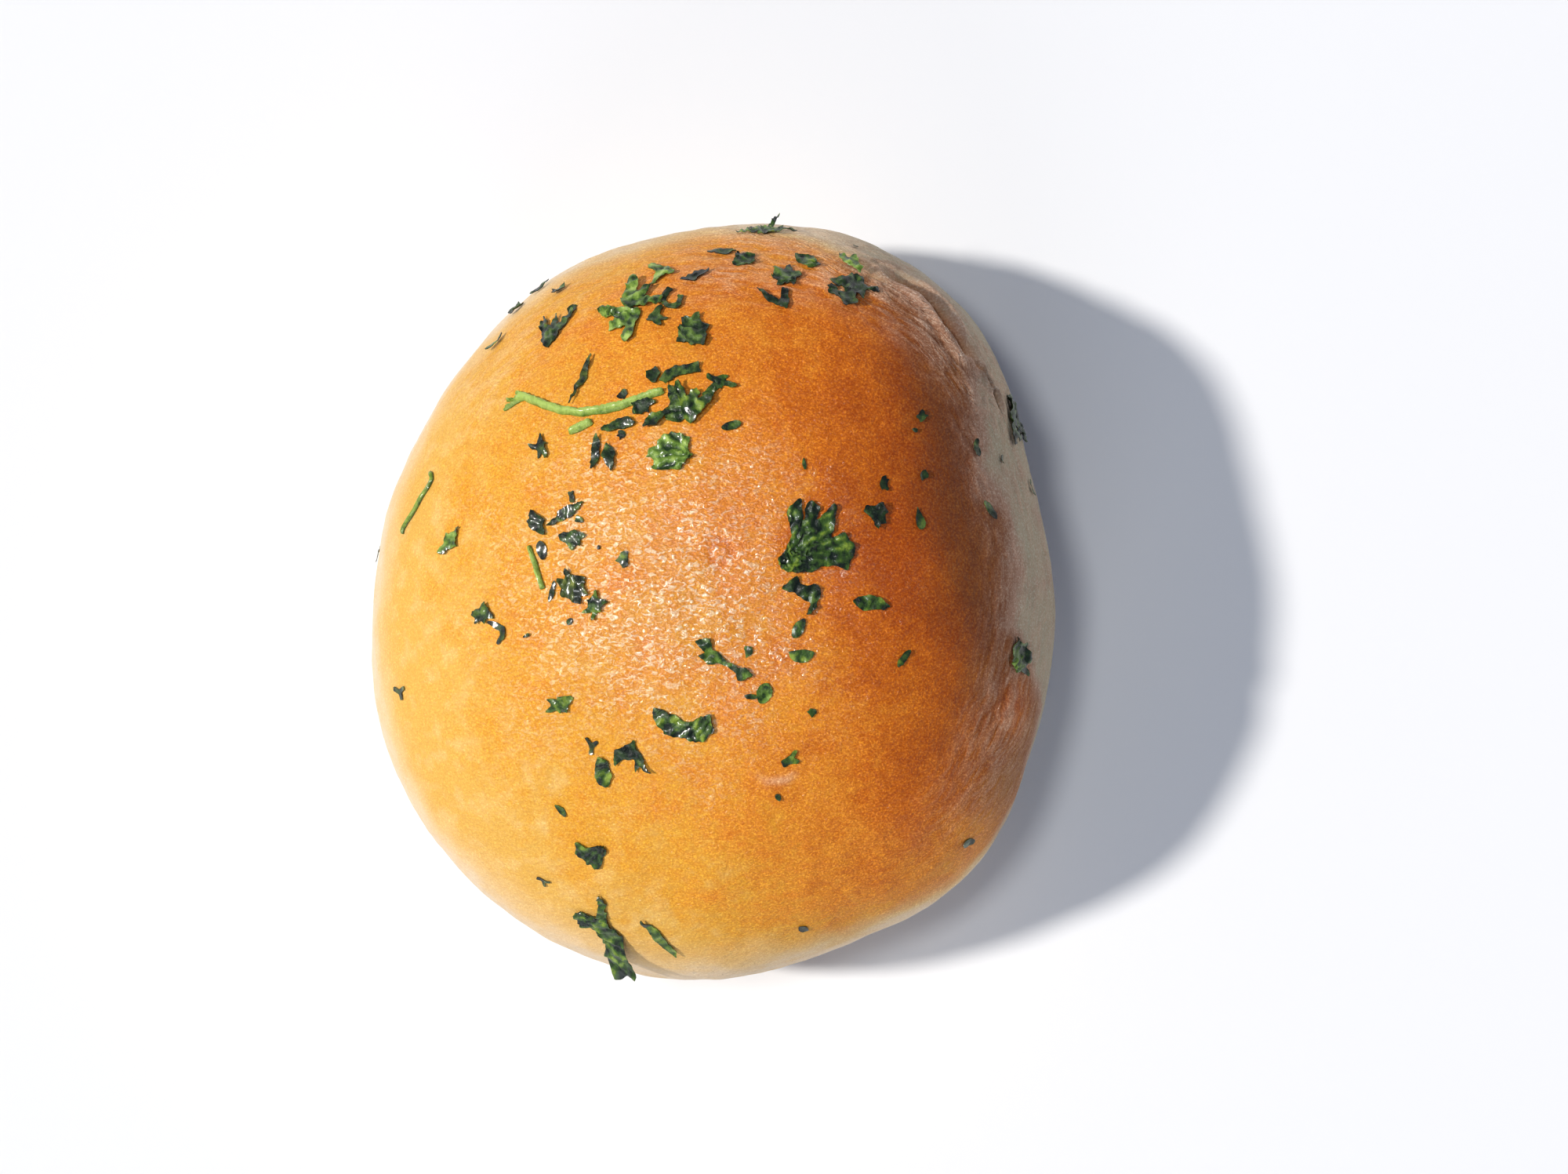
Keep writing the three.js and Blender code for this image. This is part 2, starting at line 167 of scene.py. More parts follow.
def maths(tree, operation, first, second=0.0, clamp=False):
    node = tree.nodes.new("ShaderNodeMath")
    node.operation = operation
    node.use_clamp = clamp
    for socket, value in zip(node.inputs, (first, second)):
        if isinstance(value, bpy.types.NodeSocket):
            tree.links.new(value, socket)
        else:
            socket.default_value = value
    return node.outputs[0]


def plus(tree, first, second, clamp=False):
    return maths(tree, "ADD", first, second, clamp)


def minus(tree, first, second, clamp=False):
    return maths(tree, "SUBTRACT", first, second, clamp)


def times(tree, first, second, clamp=False):
    return maths(tree, "MULTIPLY", first, second, clamp)


def swing(tree, noise_value, amount):
    """Noise from 0 to 1 as a change either way, amount wide in all."""
    return times(tree, minus(tree, noise_value, 0.5), amount)


def stretch(tree, value, low, high):
    """Maps low to 0 and high to 1, and cuts off what lies outside."""
    return add(tree, "ShaderNodeMapRange", Value=value, From_Min=low, From_Max=high).outputs[0]


def mix(tree, share, first, second, mode="MIX"):
    """Mixes two colours."""
    node = tree.nodes.new("ShaderNodeMix")
    node.data_type = "RGBA"
    node.blend_type = mode
    sockets = (node.inputs[0], node.inputs[6], node.inputs[7])  # the factor and the two colours
    for socket, value in zip(sockets, (share, first, second)):
        if isinstance(value, bpy.types.NodeSocket):
            tree.links.new(value, socket)
        else:
            socket.default_value = value
    return node.outputs[2]


def ramp(tree, value, stops):
    """A colour ramp. Stops are (place, colour) with linear colours."""
    node = tree.nodes.new("ShaderNodeValToRGB")
    elements = node.color_ramp.elements
    while len(elements) < len(stops):
        elements.new(0.5)
    for element, (place, colour) in zip(elements, stops):
        element.position = place
        element.color = (*colour, 1)
    tree.links.new(value, node.inputs[0])
    return node.outputs[0]


def grey(level):
    return (level, level, level)


def attribute(tree, name):
    return add(tree, "ShaderNodeAttribute", {"attribute_name": name}).outputs["Fac"]


def speckle(tree, place, size, detail=2.0, roughness=0.5, distortion=0.0):
    """Noise with lumps of about the given size in millimetres, from 0 to 1."""
    made = add(
        tree,
        "ShaderNodeTexNoise",
        Vector=place,
        Scale=1 / (size * MM),
        Detail=detail,
        Roughness=roughness,
        Distortion=distortion,
    )
    return made.outputs["Fac"]


# ---- The crust's shape ----

COLUMNS = 480  # the skin's grid: columns round the bun, and rings from the crown to the base
RINGS = 184
BASE_RINGS = 8
SKIN_BLUR = 4.0  # in steps of the grid: enough to hide the CAD's facets


def cad_mesh(node):
    data = frame["nodes"][node].data
    points = np.array([v.co for v in data.vertices]) / MM
    return points, [tuple(p.vertices) for p in data.polygons]


def base_edge(points):
    """How far the flat base reaches at each heading of the grid."""
    level = points[points[:, 2] < 0.01] - middle
    rim = level[np.hypot(level[:, 0], level[:, 1]) > half_width / 2]
    angles = np.arctan2(rim[:, 1], rim[:, 0])
    order = np.argsort(angles)
    rim_reach = np.hypot(rim[:, 0], rim[:, 1])
    return np.interp(headings, angles[order], rim_reach[order], period=2 * np.pi)


cad_points, cad_faces = cad_mesh("bun")
cad_tree = tree_of(cad_points, cad_faces)
headings = 2 * np.pi * np.arange(COLUMNS) / COLUMNS
edge_reach = base_edge(cad_points)
edge_tilt = np.pi / 2 + np.arctan2(core[2], edge_reach)
tilts = edge_tilt[:, None] * np.linspace(0, 1, RINGS + 1)[None, 1:]
directions = np.stack(
    [
        np.sin(tilts) * np.cos(headings)[:, None],
        np.sin(tilts) * np.sin(headings)[:, None],
        np.cos(tilts),
    ],
    axis=-1,
)
reach = np.array([[crust_hit(cad_tree, d) for d in row[:-1]] for row in directions])
reach = np.concatenate([reach, np.hypot(edge_reach, core[2])[:, None]], axis=1)
reach = end_blur(periodic_blur(reach, SKIN_BLUR), SKIN_BLUR)
skin = core + directions * reach[..., None]


def grid_normals(points):
    round_about = np.roll(points, -1, axis=0) - np.roll(points, 1, axis=0)
    crown = points[:, :1].mean(axis=0, keepdims=True).repeat(len(points), axis=0)
    above = np.concatenate([crown, points[:, :-1]], axis=1)
    below = np.concatenate([points[:, 1:], points[:, -1:]], axis=1)
    return unit(np.cross(below - above, round_about))


outward = grid_normals(skin)
spots = skin.reshape(-1, 3)
around = (spots - middle) / [half_width, half_length, bun_height]
spot_heading = np.degrees(np.arctan2(around[:, 1], around[:, 0]))
spot_height = spots[:, 2]
foot_fade = smoothstep(0.0, 5.0, spot_height)  # relief dies out where the bun stands


def along_line(points, line):
    """Distance to a line through the given corners, and how far along it, from 0 to 1."""
    corners = np.array(line, float) + middle
    lengths = np.linalg.norm(np.diff(corners, axis=0), axis=1)
    nearest = np.full(len(points), 1e9)
    share = np.zeros(len(points))
    for number, (start, end) in enumerate(zip(corners[:-1], corners[1:])):
        step = end - start
        t = np.clip((points - start) @ step / (step @ step), 0, 1)
        away = np.linalg.norm(points - start - t[:, None] * step, axis=1)
        closer = away < nearest
        nearest[closer] = away[closer]
        passed = lengths[:number].sum() + t * lengths[number]
        share[closer] = (passed / lengths.sum())[closer]
    return nearest, share


def fold(line, width, depth, lip):
    """A groove where the dough was folded, with a raised lip on both sides."""
    wander = 0.12 * clouds(spots, 2.5, 2, 11.0)
    away, share = along_line(spots, line)
    away = away + wander * width
    fade = np.sqrt(np.clip(np.sin(np.pi * np.clip(share, 0.02, 0.98)), 0, 1))
    groove = fade * (1 - smoothstep(0.35 * width, 1.15 * width, away))
    raised = fade * np.exp(-(((away - 1.55 * width) / (0.5 * width)) ** 2))
    return lip * raised - depth * groove, groove, raised


def on_crust(places):
    """Puts places, given across and along from the bun's middle, on the crust."""
    return [drop_onto(cad_tree, across, along) - middle for across, along in places]


fold_line = on_crust(
    [(20.6, 37.2), (23.6, 35.2), (25.5, 33.2), (26.9, 30.9), (28.2, 29.0), (29.4, 28.4)]
)
second_line = on_crust([(29.6, 27.0), (30.7, 26.0), (31.5, 24.4), (32.4, 22.0)])
fold_relief, fold_groove, fold_lip = fold(fold_line, width=1.3, depth=1.9, lip=0.7)
second_relief, second_groove, second_lip = fold(second_line, width=0.5, depth=0.8, lip=0.45)

# Fine wrinkles that run parallel to the rim over the shoulder at the back and the right.
shoulder = band(spot_heading, -55, -15, 80, 112) * band(spot_height, 24, 29, 38, 43)
ring_spacing = 1.15
drift = 1.6 * clouds(spots, 9.0, 2, 5.0) + 0.5 * clouds(spots, 2.2, 2, 7.0)
down_length = (tilts * reach).reshape(-1)  # from the crown down the skin
round_length = np.radians(spot_heading) * half_width  # round the bun
ridge = 0.5 + 0.5 * np.sin(2 * np.pi * (down_length + drift) / ring_spacing)
patchy = smoothstep(-0.25, 0.45, clouds(spots, 5.0, 2, 3.0))
wrinkle = shoulder * patchy * ridge**2

# The skin is creased beside the fold, more weakly along the shoulder, and a little at the back left.
crease_reach = 4.5
crease_stretch = 5  # how much longer a crease is than wide
fold_away = np.minimum(along_line(spots, fold_line)[0], along_line(spots, second_line)[0])
creased = np.clip(0.55 * shoulder + np.exp(-((fold_away / crease_reach) ** 2)), 0, 1)
back_left = band(spot_heading, 95, 115, 140, 155) * band(spot_height, 24, 29, 36, 42)
creased = creased + 0.30 * back_left
crease_place = np.column_stack([down_length, round_length / crease_stretch, 0.6 * drift])
creases = smoothstep(0.2, 0.95, 1 - 2.2 * np.abs(clouds(crease_place, 1.5, 2, 14.0)))
creases = creased * creases * (1 - np.clip(fold_groove + second_groove, 0, 1))

# The sides stretched as the dough rose: shallow lines that run round the bun.
line_stretch = 8
stretch_place = np.column_stack([down_length, round_length / line_stretch, np.zeros(len(spots))])
stretched = clouds(stretch_place, 2.2, 3, 17.0) * (1 - smoothstep(24, 34, spot_height))

# A ring-shaped dimple a little behind the middle, and a curved wrinkle in front of it.
dimple_place = middle[:2] + [1.4, 5.5]
dimple_radius = 1.2
dimple_lowest = 30  # keeps the dimple off the underside
dimple_away = np.linalg.norm(spots[:, :2] - dimple_place, axis=1)
dimple = np.exp(-(((dimple_away - dimple_radius) / 0.55) ** 2)) * (spot_height > dimple_lowest)
crescent_line = [(4.6, -18.2, 46.6), (6.2, -19.3, 46.2), (8.4, -19.2, 46.2), (9.8, -18.2, 46.4)]
crescent_away, crescent_share = along_line(spots, crescent_line)
crescent = np.sin(np.pi * crescent_share) * np.exp(-((crescent_away / 0.45) ** 2))

# A bump at the right side, longer than it is wide.
bump_middle = middle + on_crust([(33.8, -12.0)])[0]
bump_reach = [2.4, 4.2, 4.0]
bump_away = np.linalg.norm((spots - bump_middle) / bump_reach, axis=1)
side_bump = np.exp(-(bump_away**2))

# Each feature's height: swellings, lumps and pits first, then what was made above.
lift = (
    0.30 * clouds(spots, 15.0, 2, 1.0)
    + 0.10 * clouds(spots, 5.0, 2, 2.0)
    + 0.035 * clouds(spots, 1.6, 2, 4.0)
    + fold_relief
    + second_relief
    + 0.18 * (wrinkle - 0.3 * shoulder)
    + 0.24 * creases
    + 0.14 * stretched
    - 0.14 * dimple
    + 0.14 * crescent
    + 0.6 * side_bump
) * foot_fade
skin = skin + outward * lift.reshape(COLUMNS, RINGS)[..., None]
skin[:, -1, 2] = 0.0

crown_point = skin[:, 0].mean(axis=0)
base_rings = []
for number in range(1, BASE_RINGS):
    inner = skin[:, -1] * (1 - number / BASE_RINGS) + middle * (number / BASE_RINGS)
    base_rings.append(inner)
rings = np.concatenate([skin, np.stack(base_rings, axis=1)], axis=1)
ring_count = rings.shape[1]
crust_points = np.concatenate([[crown_point], rings.reshape(-1, 3), [middle]])

crust_faces = []
for column in range(COLUMNS):
    here = 1 + column * ring_count
    there = 1 + (column + 1) % COLUMNS * ring_count
    crust_faces.append((0, here, there))
    for ring in range(ring_count - 1):
        crust_faces.append((here + ring, here + ring + 1, there + ring + 1, there + ring))
    crust_faces.append((here + ring_count - 1, len(crust_points) - 1, there + ring_count - 1))
crust_tree = tree_of(crust_points, crust_faces)


def over_crust(values, at_crown, at_base):
    """Spreads values on the crust's grid over the bun's points, base included."""
    grid = np.asarray(values).reshape(COLUMNS, RINGS)
    under = np.full((COLUMNS, BASE_RINGS - 1), at_base)
    return np.concatenate([[at_crown], np.concatenate([grid, under], axis=1).reshape(-1), [at_base]])


# ---- The crust's colour ----


def blob(across, along, wide, long):
    """A soft spot on the crust, seen from above: its middle and reach in half widths and lengths."""
    away = ((around[:, 0] - across) / wide) ** 2 + ((around[:, 1] - along) / long) ** 2
    return np.exp(-away)


def ragged_patch(across, along, wide, long, ragged):
    """A patch on the crown with an uneven edge, and fuller in its middle than a blob."""
    away = np.hypot((around[:, 0] - across) / wide, (around[:, 1] - along) / long)
    return np.exp(-np.maximum(away + ragged * clouds(spots, 6.0, 2, 13.0), 0) ** 3)


# How far up the pale side reaches, by heading: high under the fold, low in front of it. Its edge
# is sharper on the right.
pale_headings = [-180, -135, -90, -55, -30, -16, -4, 25, 40, 60, 90, 135, 180]
pale_levels = [29, 29, 30, 27, 25, 28, 37.6, 38.3, 36, 34.5, 28, 26, 29]
pale_level = np.interp(spot_heading, pale_headings, pale_levels)
pale_spread = np.interp(spot_heading, [-70, -20, 50, 100], [6.0, 2.6, 2.6, 6.0])
pale_rise = spot_height - pale_level + 1.5 * clouds(spots, 7.0, 2, 9.0)
pale = (1 - smoothstep(-1, 1, pale_rise / pale_spread)) * (1 - side_bump)

# How brown the crust is: more so to the right, at the back and in three soft spots, and less so
# near the rim and in front.
rim_share = np.hypot(around[:, 0], around[:, 1])
brown = (
    0.38
    + 0.55 * around[:, 0]
    + 0.30 * np.clip(around[:, 1], 0, 1)
    - 0.22 * smoothstep(0.75, 0.98, rim_share)
    - 0.12 * smoothstep(0.40, 0.85, -around[:, 1])
    + 0.33 * blob(0.50, 0.10, 0.24, 0.36)
    + 0.12 * blob(0.50, -0.62, 0.25, 0.30)
    + 0.15 * blob(-0.50, -0.05, 0.26, 0.45)
    + 0.10 * clouds(spots, 9.0, 2, 6.0)
    + 0.15 * side_bump
    + 0.20 * dimple
)
# The glaze is thickest over the crown. A net of painted glints, with painted shade in its hollows, lies
# further to the left.
crown_glaze = ragged_patch(-0.01, 0.03, 0.36, 0.34, 0.30)
painted_glint_patch = ragged_patch(-0.19, 0.03, 0.38, 0.37, 0.35)
# Painted shade: the right side, turned away from the key light, is painted duller and darker than the
# rest.
shade_side_place = around[:, 0] + 0.25 * around[:, 1] + 0.04 * clouds(spots, 8.0, 2, 12.0)
painted_shade_side = smoothstep(0.54, 0.78, shade_side_place) * (1 - 0.8 * side_bump)
baked_foot = 1 - smoothstep(0.5, 4.0, spot_height + 0.8 * clouds(spots, 4.0, 2, 8.0))

# Linear colours. The crust's own go from barely baked to brown.
BAKED_STOPS = [
    (0.00, (0.750, 0.405, 0.072)),
    (0.25, (0.750, 0.330, 0.028)),
    (0.50, (0.750, 0.250, 0.020)),
    (0.75, (0.610, 0.148, 0.009)),
    (1.00, (0.420, 0.080, 0.006)),
]
LIGHT_PATCH = (0.84, 0.56, 0.22, 1)
# Painted shade: a near black that darkens the right side.
PAINTED_SHADE_DARK = (0.06, 0.03, 0.010, 1)
CREAM = ((0.82, 0.66, 0.46, 1), (0.80, 0.57, 0.34, 1))
# The pale side's cream in painted shade, as on the right.
CREAM_IN_PAINTED_SHADE = ((0.37, 0.33, 0.23, 1), (0.50, 0.40, 0.26, 1))
# The pale side's edge, lit, and on the right in painted shade with a painted pinkish sheen.
CREAM_EDGE = ((0.80, 0.52, 0.22, 1), (0.42, 0.245, 0.16, 1))  # bright side, dull side
# Pale ridges, partly their own paler colour and partly a painted highlight, lit and on the right in
# painted shade.
PALE_RIDGE_AND_HIGHLIGHT = ((0.84, 0.54, 0.34, 1), (0.60, 0.38, 0.26, 1))  # bright side, dull side
# The fold's groove: a darker brown, partly the crust's own and partly painted shade.
GROOVE_BROWN_AND_SHADE = (0.48, 0.17, 0.022, 1)
FOOT = ((0.56, 0.30, 0.11, 1), (0.40, 0.17, 0.05, 1))
# Painted shade in the net's hollows, and painted glints on its crests.
NET_HOLLOW_PAINTED_SHADE = (0.94, 0.82, 0.65, 1)
PAINTED_GLINT = (0.97, 0.71, 0.42, 1)
WHITE = (1.0, 1.0, 1.0, 1)
# The grain darkens its pits and lightens its tips, and the tips are less yellow.
GRAIN_STOPS = [
    (0.36, (0.76, 0.61, 0.52)),
    (0.49, (0.95, 0.92, 0.90)),
    (0.57, (1.13, 1.22, 1.28)),
    (0.66, (1.55, 2.00, 2.3)),
]

crust_material, tree = new_material("crust_baked")
place = add(tree, "ShaderNodeTexCoord").outputs["Object"]
blotch = speckle(tree, place, 5.0, 3.0, 0.6)
small_blotch = speckle(tree, place, 1.3, 3.0, 0.6)
grain = speckle(tree, place, 0.25, 3.0, 0.75)
painted_shade = attribute(tree, "painted_shade_side")

# The baked colour, with light patches where it is barely baked.
browning = plus(tree, attribute(tree, "brown"), swing(tree, blotch, 0.45))
browning = plus(tree, browning, swing(tree, small_blotch, 0.40), clamp=True)
baked = ramp(tree, browning, BAKED_STOPS)
patch = stretch(tree, speckle(tree, place, 2.4, 2.0, 0.5), 0.48, 0.68)
patch = times(tree, patch, minus(tree, 0.38, browning, clamp=True), clamp=True)
baked = mix(tree, patch, baked, LIGHT_PATCH)
# Painted shade: the right side's baked colour is darkened towards near black.
baked = mix(tree, times(tree, painted_shade, 0.62), baked, PAINTED_SHADE_DARK)

# The pale side: the baked colour turns to its edge's colour, and that to cream. On the right both are
# painted in shade.
cream = mix(tree, small_blotch, *CREAM)
# On the right the cream turns to its copy in painted shade.
cream = mix(tree, painted_shade, cream, mix(tree, blotch, *CREAM_IN_PAINTED_SHADE))
uneven = plus(tree, swing(tree, blotch, 1.4), 1.0)
paleness = times(tree, attribute(tree, "pale"), uneven, clamp=True)
edge_share = times(tree, paleness, 2.0, clamp=True)
cream_share = minus(tree, times(tree, paleness, 2.0), 1.0, clamp=True)
# On the right the edge colour turns to its copy in painted shade, with a painted pinkish sheen.
colour = mix(tree, edge_share, baked, mix(tree, painted_shade, *CREAM_EDGE))
colour = mix(tree, cream_share, colour, cream)

# Pale ridges, and pale streaks that run round the bun where its skin is creased, partly the skin's
# own paler colour and partly a painted highlight; the groove of the fold, partly painted shade; and
# the browned foot.
pale_ridge_and_highlight = mix(tree, painted_shade, *PALE_RIDGE_AND_HIGHLIGHT)
streak_place = add(
    tree,
    "ShaderNodeCombineXYZ",
    X=attribute(tree, "downward"),
    Y=attribute(tree, "roundabout"),
)
streaks = speckle(tree, streak_place.outputs[0], 0.65, 3.0, 0.6, 0.6)
streaks = times(tree, stretch(tree, streaks, 0.50, 0.66), attribute(tree, "creased"))
colour = mix(tree, times(tree, attribute(tree, "pale_ridges_and_highlights"), 0.7), colour, pale_ridge_and_highlight)
colour = mix(tree, times(tree, streaks, 0.55, clamp=True), colour, pale_ridge_and_highlight)
# The groove is painted a darker brown, partly as shade.
groove_share = times(tree, attribute(tree, "groove"), 1.3, clamp=True)
colour = mix(tree, groove_share, colour, GROOVE_BROWN_AND_SHADE)
colour = mix(tree, attribute(tree, "foot"), colour, mix(tree, blotch, *FOOT))

# The glaze wrinkles finely: a net of crests over wider swirls.
turned = add(
    tree,
    "ShaderNodeMapping",
    {"vector_type": "POINT"},
    Vector=place,
    Rotation=(0, 0, math.radians(-32)),
    Scale=(0.72, 1.15, 1.0),
).outputs["Vector"]
net = speckle(tree, turned, 0.52, 1.0, 0.5, 0.9)
swirl = speckle(tree, turned, 2.2, 2.0, 0.5, 1.2)
crests = stretch(tree, net, 0.50, 0.66)
# Painted highlight: over the crown's left the hollows between the crests are painted darker and the
# crests paler, as a net of glints.
painted_glint_zone = attribute(tree, "painted_glint_zone")
colour = mix(tree, painted_glint_zone, colour, mix(tree, crests, NET_HOLLOW_PAINTED_SHADE, WHITE), "MULTIPLY")
colour = mix(tree, times(tree, times(tree, crests, painted_glint_zone), 0.55), colour, PAINTED_GLINT)

# The grain shows most where the crust is brown, and least on the pale side.
grain_share = plus(tree, 0.35, times(tree, browning, 0.9), clamp=True)
grain_share = times(tree, grain_share, minus(tree, 1.0, times(tree, paleness, 0.6)))
colour = mix(tree, grain_share, colour, ramp(tree, grain, GRAIN_STOPS), "MULTIPLY")

# The wrinkles make the glaze glint. Their crests hold most of it.
relief = plus(tree, net, swirl)
relief = plus(tree, relief, times(tree, grain, 0.12))
relief = plus(tree, relief, times(tree, streaks, 0.8))


def bumped(height, depth):
    return add(tree, "ShaderNodeBump", Strength=1.0, Distance=depth * MM, Height=height).outputs["Normal"]


crest_gloss = plus(tree, 0.25, times(tree, crests, 0.75))
glaze = times(tree, attribute(tree, "glaze"), crest_gloss)
glaze = plus(tree, 0.05, times(tree, glaze, 0.95), clamp=True)
surface = add(
    tree,
    "ShaderNodeBsdfPrincipled",
    Base_Color=colour,
    Roughness=0.55,
    Specular_IOR_Level=0.08,
    Normal=bumped(relief, 0.10),
    Coat_Weight=glaze,
    Coat_IOR=2.6,
    Coat_Roughness=ramp(tree, swirl, [(0.3, grey(0.10)), (0.7, grey(0.16))]),
    Coat_Normal=bumped(relief, 0.36),
)
add(tree, "ShaderNodeOutputMaterial", Surface=surface.outputs[0])

# Where the pale ridge colour and its painted highlight go: wrinkle crests, creases, the crescent and the
# folds' lips.
pale_ridges_and_highlights = 0.5 * wrinkle + crescent + 0.6 * creases + 0.8 * (fold_lip + second_lip)
crust = make_piece("crust", crust_points, crust_faces, crust_material, "bun")
store(crust, "brown", over_crust(brown, brown[0], 0.6))
store(crust, "pale", over_crust(pale, 0, 1))
store(crust, "foot", over_crust(baked_foot, 0, 1))
store(crust, "painted_shade_side", over_crust(painted_shade_side, 0, 0.5))
store(crust, "glaze", over_crust(crown_glaze, crown_glaze[0], 0))
store(crust, "painted_glint_zone", over_crust(painted_glint_patch, painted_glint_patch[0], 0))
store(crust, "creased", over_crust(creased, 0, 0))
store(crust, "downward", over_crust((down_length + drift) * MM, 0, 0))
store(crust, "roundabout", over_crust(round_length * MM / crease_stretch, 0, 0))
store(crust, "groove", over_crust(np.clip(fold_groove + 0.8 * second_groove, 0, 1), 0, 0))
store(crust, "pale_ridges_and_highlights", over_crust(np.clip(pale_ridges_and_highlights, 0, 1), 0, 0))


# ---- Parsley ----

# Linear colours of each green: its darkest, painted shade for its creases and folds, its colour over most
# of it, and its lightest, a painted highlight where it catches the light.
leaf_tones_and_shade = {
    "parsley_dark": ((0.002, 0.006, 0.002), (0.018, 0.044, 0.008), (0.120, 0.200, 0.030)),
    "parsley_green": ((0.003, 0.010, 0.003), (0.044, 0.100, 0.010), (0.240, 0.340, 0.032)),
    "parsley_olive": ((0.008, 0.014, 0.004), (0.062, 0.090, 0.014), (0.230, 0.260, 0.055)),
    "parsley_light": ((0.012, 0.035, 0.006), (0.125, 0.230, 0.024), (0.380, 0.520, 0.100)),
}


def leaf_material(slot):
    material, tree = new_material(slot + "_leaf")
    place = add(tree, "ShaderNodeTexCoord").outputs["Object"]
    mottle = speckle(tree, place, 0.5, 3.0, 0.6)
    vein = attribute(tree, "vein")
    tone_and_shade = plus(tree, attribute(tree, "tone_and_shade"), swing(tree, mottle, 1.0))
    tone_and_shade = plus(tree, tone_and_shade, times(tree, vein, 0.15), clamp=True)
    colour = ramp(tree, tone_and_shade, list(zip((0.08, 0.5, 0.95), leaf_tones_and_shade[slot])))
    height = plus(tree, speckle(tree, place, 0.26, 2.0, 0.6), times(tree, vein, 0.4))
    bump = add(tree, "ShaderNodeBump", Strength=1.0, Distance=0.09 * MM, Height=height)
    surface = add(
        tree,
        "ShaderNodeBsdfPrincipled",
        Base_Color=colour,
        Roughness=0.45,
        Specular_IOR_Level=0.3,
        Normal=bump.outputs["Normal"],
        Coat_Weight=0.5,
        Coat_Roughness=0.18,
    )
    add(tree, "ShaderNodeOutputMaterial", Surface=surface.outputs[0])
    return material


leaf_materials = {slot: leaf_material(slot) for slot in leaf_tones_and_shade}


def rim_of(points, faces):
    """The upper rim of an extruded flake, in order: edges between two upper points whose triangle
    also has a lower point."""
    keys = {}
    merged = [keys.setdefault(tuple(np.round(p, 3)), len(keys)) for p in points]
    spots = np.array(list(keys))
    toward = unit(spots - core)
    distance = np.linalg.norm(spots - core, axis=1)
    partner = (toward @ toward.T - 2 * np.eye(len(spots))).argmax(axis=1)
    upper = distance > distance[partner]
    following = {}
    for face in faces:
        corners = [merged[v] for v in face]
        tops = [c for c in corners if upper[c]]
        if len(tops) == 2:
            place = corners.index(next(c for c in corners if not upper[c]))
            # the side's winding gives the rim's direction
            first, second = corners[(place + 1) % 3], corners[(place + 2) % 3]
            following[first] = second
    start = next(iter(following))
    loop = [start]
    while following[loop[-1]] != start:
        loop.append(following[loop[-1]])
    return spots[loop], spots[partner[loop]]


def plane_at(direction):
    """A place on the crust and two directions that lie flat on it: right, and to the back."""
    centre = core + direction * crust_hit(crust_tree, direction)
    right = unit(np.cross([0, 1, 0], direction))
    return centre, right, np.cross(direction, right)


def to_plane(points, direction, plane):
    centre, right, ahead = plane
    toward = points - core
    scale = ((centre - core) @ direction) / (toward @ direction)
    flat = toward * scale[:, None] + core - centre
    return np.stack([flat @ right, flat @ ahead], axis=1)


def refine(outline, step, rough, seed):
    """An outline with cut corners and more points, bent out of true and frayed by up to rough."""
    x, y = outline.T
    if np.sum(x * np.roll(y, -1) - np.roll(x, -1) * y) < 0:
        outline = outline[::-1]
    cut = 0.14  # of each side, at both its ends
    following = np.roll(outline, -1, axis=0)
    starts = (1 - cut) * outline + cut * following
    ends = cut * outline + (1 - cut) * following
    outline = np.stack([starts, ends], axis=1).reshape(-1, 2)
    finer = []
    for start, end in zip(outline, np.roll(outline, -1, axis=0)):
        count = max(1, round(np.linalg.norm(end - start) / step))
        finer.extend(start + (end - start) * k / count for k in range(count))
    finer = np.array(finer)
    ahead = unit(np.roll(finer, -1, axis=0) - np.roll(finer, 1, axis=0) + 1e-9)
    sideways = np.stack([ahead[:, 1], -ahead[:, 0]], axis=1)
    spots = np.column_stack([finer, np.full(len(finer), seed * 3.7)])
    bend = np.stack([clouds(spots, 1.2, 1, 3.0), clouds(spots, 1.2, 1, 8.0)], axis=1)
    return finer + sideways * (rough * clouds(spots, 0.45, 2))[:, None] + 3.0 * rough * bend


def distance_to_rim(points, rim):
    nearest = np.full(len(points), 1e9)
    for start, end in zip(rim, np.roll(rim, -1, axis=0)):
        step = end - start
        t = np.clip((points - start) @ step / (step @ step + 1e-12), 0, 1)
        nearest = np.minimum(nearest, np.linalg.norm(points - start - t[:, None] * step, axis=1))
    return nearest


def fill_outline(rim, size, spacing, rng):
    """Fills an outline with small triangles: its points, the triangles and the edges of its rim."""
    span = np.arange(-size - spacing, size + spacing, spacing)
    grid = np.array([(x + (row % 2) * spacing / 2, y) for row, y in enumerate(span) for x in span])
    grid = grid + rng.uniform(-0.2, 0.2, grid.shape) * spacing
    grid = grid[distance_to_rim(grid, rim) > 0.45 * spacing]
    corners = np.concatenate([rim, grid])
    edges = [(k, (k + 1) % len(rim)) for k in range(len(rim))]
    filled = delaunay_2d_cdt([Vector(c) for c in corners], edges, [], 1, 1e-5)
    used = sorted({v for face in filled[2] for v in face})
    renumber = {old: new for new, old in enumerate(used)}
    flat = np.array([tuple(filled[0][v]) for v in used])
    triangles = [tuple(renumber[v] for v in face) for face in filled[2]]
    sides = dict.fromkeys(side for a, b, c in triangles for side in ((a, b), (b, c), (c, a)))
    outer = [side for side in sides if side[::-1] not in sides]
    return flat, triangles, outer


